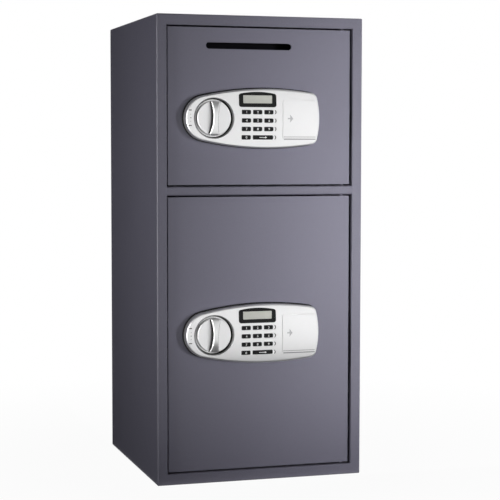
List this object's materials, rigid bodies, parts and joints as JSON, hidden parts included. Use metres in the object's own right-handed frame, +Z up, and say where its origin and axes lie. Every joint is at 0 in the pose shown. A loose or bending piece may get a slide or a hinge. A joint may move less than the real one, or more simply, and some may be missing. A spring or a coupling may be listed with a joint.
{
  "type": "drop safe",
  "caption": "Steel floor safe with a deposit-slot door over a storage door, each with an electronic keypad lock, turning knob, sliding bolts and concealed hinges.",
  "frame": {"origin": "middle of the cabinet's underside, where it stands on the floor", "axes": "+X to the right seen from the front (the hinge side), +Y to the back, +Z up"},
  "size_m": [0.35, 0.3782, 0.76],
  "materials": {
    "cabinet_paint": "dark grey powder coat with a fine texture",
    "black_paint": "matt black primer inside the deposit slot",
    "door_paint": "dark grey powder coat, smoother than the cabinet's",
    "silver_casting": "satin silver lacquer",
    "black_plastic": "gloss black",
    "key_rubber": "matt black",
    "bright_steel": "turned steel",
    "plated_steel": "bright plating",
    "brass": "machined brass",
    "coil": "wound coil in a plated yoke",
    "board": "green board",
    "cell_sleeve": "plain printed sleeve",
    "mat_felt": "dark felt"
  },
  "bodies": {
    "cabinet": {"cabinet_shell": "cabinet_paint", "door_frame": "cabinet_paint", "divider_shelf": "cabinet_paint", "back_panel": "cabinet_paint", "floor_mats": "mat_felt"},
    "upper_door": {"upper_door_panel": "door_paint", "upper_hinge_pins": "cabinet_paint", "upper_lock_housing": "silver_casting", "upper_display_bezel": "black_plastic", "upper_circuit_board": "board", "upper_batteries": "cell_sleeve", "upper_key_cylinder": "plated_steel", "upper_solenoid": "coil", "upper_mechanism_cover": "cabinet_paint", "upper_cover_screws": "bright_steel", "upper_slot_baffle": "black_paint"},
    "upper_knob": {"upper_knob": "silver_casting", "upper_spindle": "bright_steel"},
    "upper_bolts": {"upper_bolt_carrier": "bright_steel"},
    "upper_plunger": {"upper_plunger": "bright_steel"},
    "upper_override_plug": {"upper_key_plug": "brass"},
    "upper_battery_cover": {"upper_battery_cover": "silver_casting"},
    "upper_key_1": {"upper_key_1": "key_rubber"},
    "upper_key_2": {"upper_key_2": "key_rubber"},
    "upper_key_3": {"upper_key_3": "key_rubber"},
    "upper_key_4": {"upper_key_4": "key_rubber"},
    "upper_key_5": {"upper_key_5": "key_rubber"},
    "upper_key_6": {"upper_key_6": "key_rubber"},
    "upper_key_7": {"upper_key_7": "key_rubber"},
    "upper_key_8": {"upper_key_8": "key_rubber"},
    "upper_key_9": {"upper_key_9": "key_rubber"},
    "upper_key_0": {"upper_key_0": "key_rubber"},
    "upper_key_enter": {"upper_key_enter": "key_rubber"},
    "lower_door": {"lower_door_panel": "door_paint", "lower_hinge_pins": "cabinet_paint", "lower_lock_housing": "silver_casting", "lower_display_bezel": "black_plastic", "lower_circuit_board": "board", "lower_batteries": "cell_sleeve", "lower_key_cylinder": "plated_steel", "lower_solenoid": "coil", "lower_mechanism_cover": "cabinet_paint", "lower_cover_screws": "bright_steel"},
    "lower_knob": {"lower_knob": "silver_casting", "lower_spindle": "bright_steel"},
    "lower_bolts": {"lower_bolt_carrier": "bright_steel"},
    "lower_plunger": {"lower_plunger": "bright_steel"},
    "lower_override_plug": {"lower_key_plug": "brass"},
    "lower_battery_cover": {"lower_battery_cover": "silver_casting"},
    "lower_key_1": {"lower_key_1": "key_rubber"},
    "lower_key_2": {"lower_key_2": "key_rubber"},
    "lower_key_3": {"lower_key_3": "key_rubber"},
    "lower_key_4": {"lower_key_4": "key_rubber"},
    "lower_key_5": {"lower_key_5": "key_rubber"},
    "lower_key_6": {"lower_key_6": "key_rubber"},
    "lower_key_7": {"lower_key_7": "key_rubber"},
    "lower_key_8": {"lower_key_8": "key_rubber"},
    "lower_key_9": {"lower_key_9": "key_rubber"},
    "lower_key_0": {"lower_key_0": "key_rubber"},
    "lower_key_enter": {"lower_key_enter": "key_rubber"}
  },
  "joints": [
    {"name": "upper_door_hinge", "type": "hinge", "parent": "cabinet", "child": "upper_door", "pos_m": [0.143, -0.164, 0.6135], "axis": [0, 0, 1], "range_deg": [0, 105]},
    {"name": "upper_knob_turn", "type": "hinge", "parent": "upper_door", "child": "upper_knob", "pos_m": [-0.0825, -0.1715, 0.5943], "axis": [0, -1, 0], "range_deg": [0, 90]},
    {"name": "upper_bolt_slide", "type": "slide", "parent": "upper_door", "child": "upper_bolts", "axis": [-1, 0, 0], "range_m": [0, 0.018]},
    {"name": "upper_cover_slide", "type": "slide", "parent": "upper_door", "child": "upper_battery_cover", "axis": [1, 0, 0], "range_m": [0, 0.024]},
    {"name": "upper_override_turn", "type": "hinge", "parent": "upper_door", "child": "upper_override_plug", "pos_m": [0.04625, -0.1715, 0.593], "axis": [0, 1, 0], "range_deg": [0, 90]},
    {"name": "upper_plunger_slide", "type": "slide", "parent": "upper_door", "child": "upper_plunger", "axis": [0, 0, 1], "range_m": [0, 0.005]},
    {"name": "lower_door_hinge", "type": "hinge", "parent": "cabinet", "child": "lower_door", "pos_m": [0.143, -0.164, 0.244], "axis": [0, 0, 1], "range_deg": [0, 105]},
    {"name": "lower_knob_turn", "type": "hinge", "parent": "lower_door", "child": "lower_knob", "pos_m": [-0.0825, -0.1715, 0.244], "axis": [0, -1, 0], "range_deg": [0, 90]},
    {"name": "lower_bolt_slide", "type": "slide", "parent": "lower_door", "child": "lower_bolts", "axis": [-1, 0, 0], "range_m": [0, 0.018]},
    {"name": "lower_cover_slide", "type": "slide", "parent": "lower_door", "child": "lower_battery_cover", "axis": [1, 0, 0], "range_m": [0, 0.024]},
    {"name": "lower_override_turn", "type": "hinge", "parent": "lower_door", "child": "lower_override_plug", "pos_m": [0.04625, -0.1715, 0.2427], "axis": [0, 1, 0], "range_deg": [0, 90]},
    {"name": "lower_plunger_slide", "type": "slide", "parent": "lower_door", "child": "lower_plunger", "axis": [0, 0, 1], "range_m": [0, 0.005]},
    {"name": "upper_key_1_press", "type": "slide", "parent": "upper_door", "child": "upper_key_1", "axis": [0, 1, 0], "range_m": [0, 0.0012], "stiffness_N_per_m": 600},
    {"name": "upper_key_2_press", "type": "slide", "parent": "upper_door", "child": "upper_key_2", "axis": [0, 1, 0], "range_m": [0, 0.0012], "stiffness_N_per_m": 600},
    {"name": "upper_key_3_press", "type": "slide", "parent": "upper_door", "child": "upper_key_3", "axis": [0, 1, 0], "range_m": [0, 0.0012], "stiffness_N_per_m": 600},
    {"name": "upper_key_4_press", "type": "slide", "parent": "upper_door", "child": "upper_key_4", "axis": [0, 1, 0], "range_m": [0, 0.0012], "stiffness_N_per_m": 600},
    {"name": "upper_key_5_press", "type": "slide", "parent": "upper_door", "child": "upper_key_5", "axis": [0, 1, 0], "range_m": [0, 0.0012], "stiffness_N_per_m": 600},
    {"name": "upper_key_6_press", "type": "slide", "parent": "upper_door", "child": "upper_key_6", "axis": [0, 1, 0], "range_m": [0, 0.0012], "stiffness_N_per_m": 600},
    {"name": "upper_key_7_press", "type": "slide", "parent": "upper_door", "child": "upper_key_7", "axis": [0, 1, 0], "range_m": [0, 0.0012], "stiffness_N_per_m": 600},
    {"name": "upper_key_8_press", "type": "slide", "parent": "upper_door", "child": "upper_key_8", "axis": [0, 1, 0], "range_m": [0, 0.0012], "stiffness_N_per_m": 600},
    {"name": "upper_key_9_press", "type": "slide", "parent": "upper_door", "child": "upper_key_9", "axis": [0, 1, 0], "range_m": [0, 0.0012], "stiffness_N_per_m": 600},
    {"name": "upper_key_0_press", "type": "slide", "parent": "upper_door", "child": "upper_key_0", "axis": [0, 1, 0], "range_m": [0, 0.0012], "stiffness_N_per_m": 600},
    {"name": "upper_key_enter_press", "type": "slide", "parent": "upper_door", "child": "upper_key_enter", "axis": [0, 1, 0], "range_m": [0, 0.0012], "stiffness_N_per_m": 600},
    {"name": "lower_key_1_press", "type": "slide", "parent": "lower_door", "child": "lower_key_1", "axis": [0, 1, 0], "range_m": [0, 0.0012], "stiffness_N_per_m": 600},
    {"name": "lower_key_2_press", "type": "slide", "parent": "lower_door", "child": "lower_key_2", "axis": [0, 1, 0], "range_m": [0, 0.0012], "stiffness_N_per_m": 600},
    {"name": "lower_key_3_press", "type": "slide", "parent": "lower_door", "child": "lower_key_3", "axis": [0, 1, 0], "range_m": [0, 0.0012], "stiffness_N_per_m": 600},
    {"name": "lower_key_4_press", "type": "slide", "parent": "lower_door", "child": "lower_key_4", "axis": [0, 1, 0], "range_m": [0, 0.0012], "stiffness_N_per_m": 600},
    {"name": "lower_key_5_press", "type": "slide", "parent": "lower_door", "child": "lower_key_5", "axis": [0, 1, 0], "range_m": [0, 0.0012], "stiffness_N_per_m": 600},
    {"name": "lower_key_6_press", "type": "slide", "parent": "lower_door", "child": "lower_key_6", "axis": [0, 1, 0], "range_m": [0, 0.0012], "stiffness_N_per_m": 600},
    {"name": "lower_key_7_press", "type": "slide", "parent": "lower_door", "child": "lower_key_7", "axis": [0, 1, 0], "range_m": [0, 0.0012], "stiffness_N_per_m": 600},
    {"name": "lower_key_8_press", "type": "slide", "parent": "lower_door", "child": "lower_key_8", "axis": [0, 1, 0], "range_m": [0, 0.0012], "stiffness_N_per_m": 600},
    {"name": "lower_key_9_press", "type": "slide", "parent": "lower_door", "child": "lower_key_9", "axis": [0, 1, 0], "range_m": [0, 0.0012], "stiffness_N_per_m": 600},
    {"name": "lower_key_0_press", "type": "slide", "parent": "lower_door", "child": "lower_key_0", "axis": [0, 1, 0], "range_m": [0, 0.0012], "stiffness_N_per_m": 600},
    {"name": "lower_key_enter_press", "type": "slide", "parent": "lower_door", "child": "lower_key_enter", "axis": [0, 1, 0], "range_m": [0, 0.0012], "stiffness_N_per_m": 600}
  ],
  "couplings": [
    {"joint": "upper_bolt_slide", "follows": "upper_knob_turn", "m_per_rad": 0.011459},
    {"joint": "lower_bolt_slide", "follows": "lower_knob_turn", "m_per_rad": 0.011459}
  ]
}
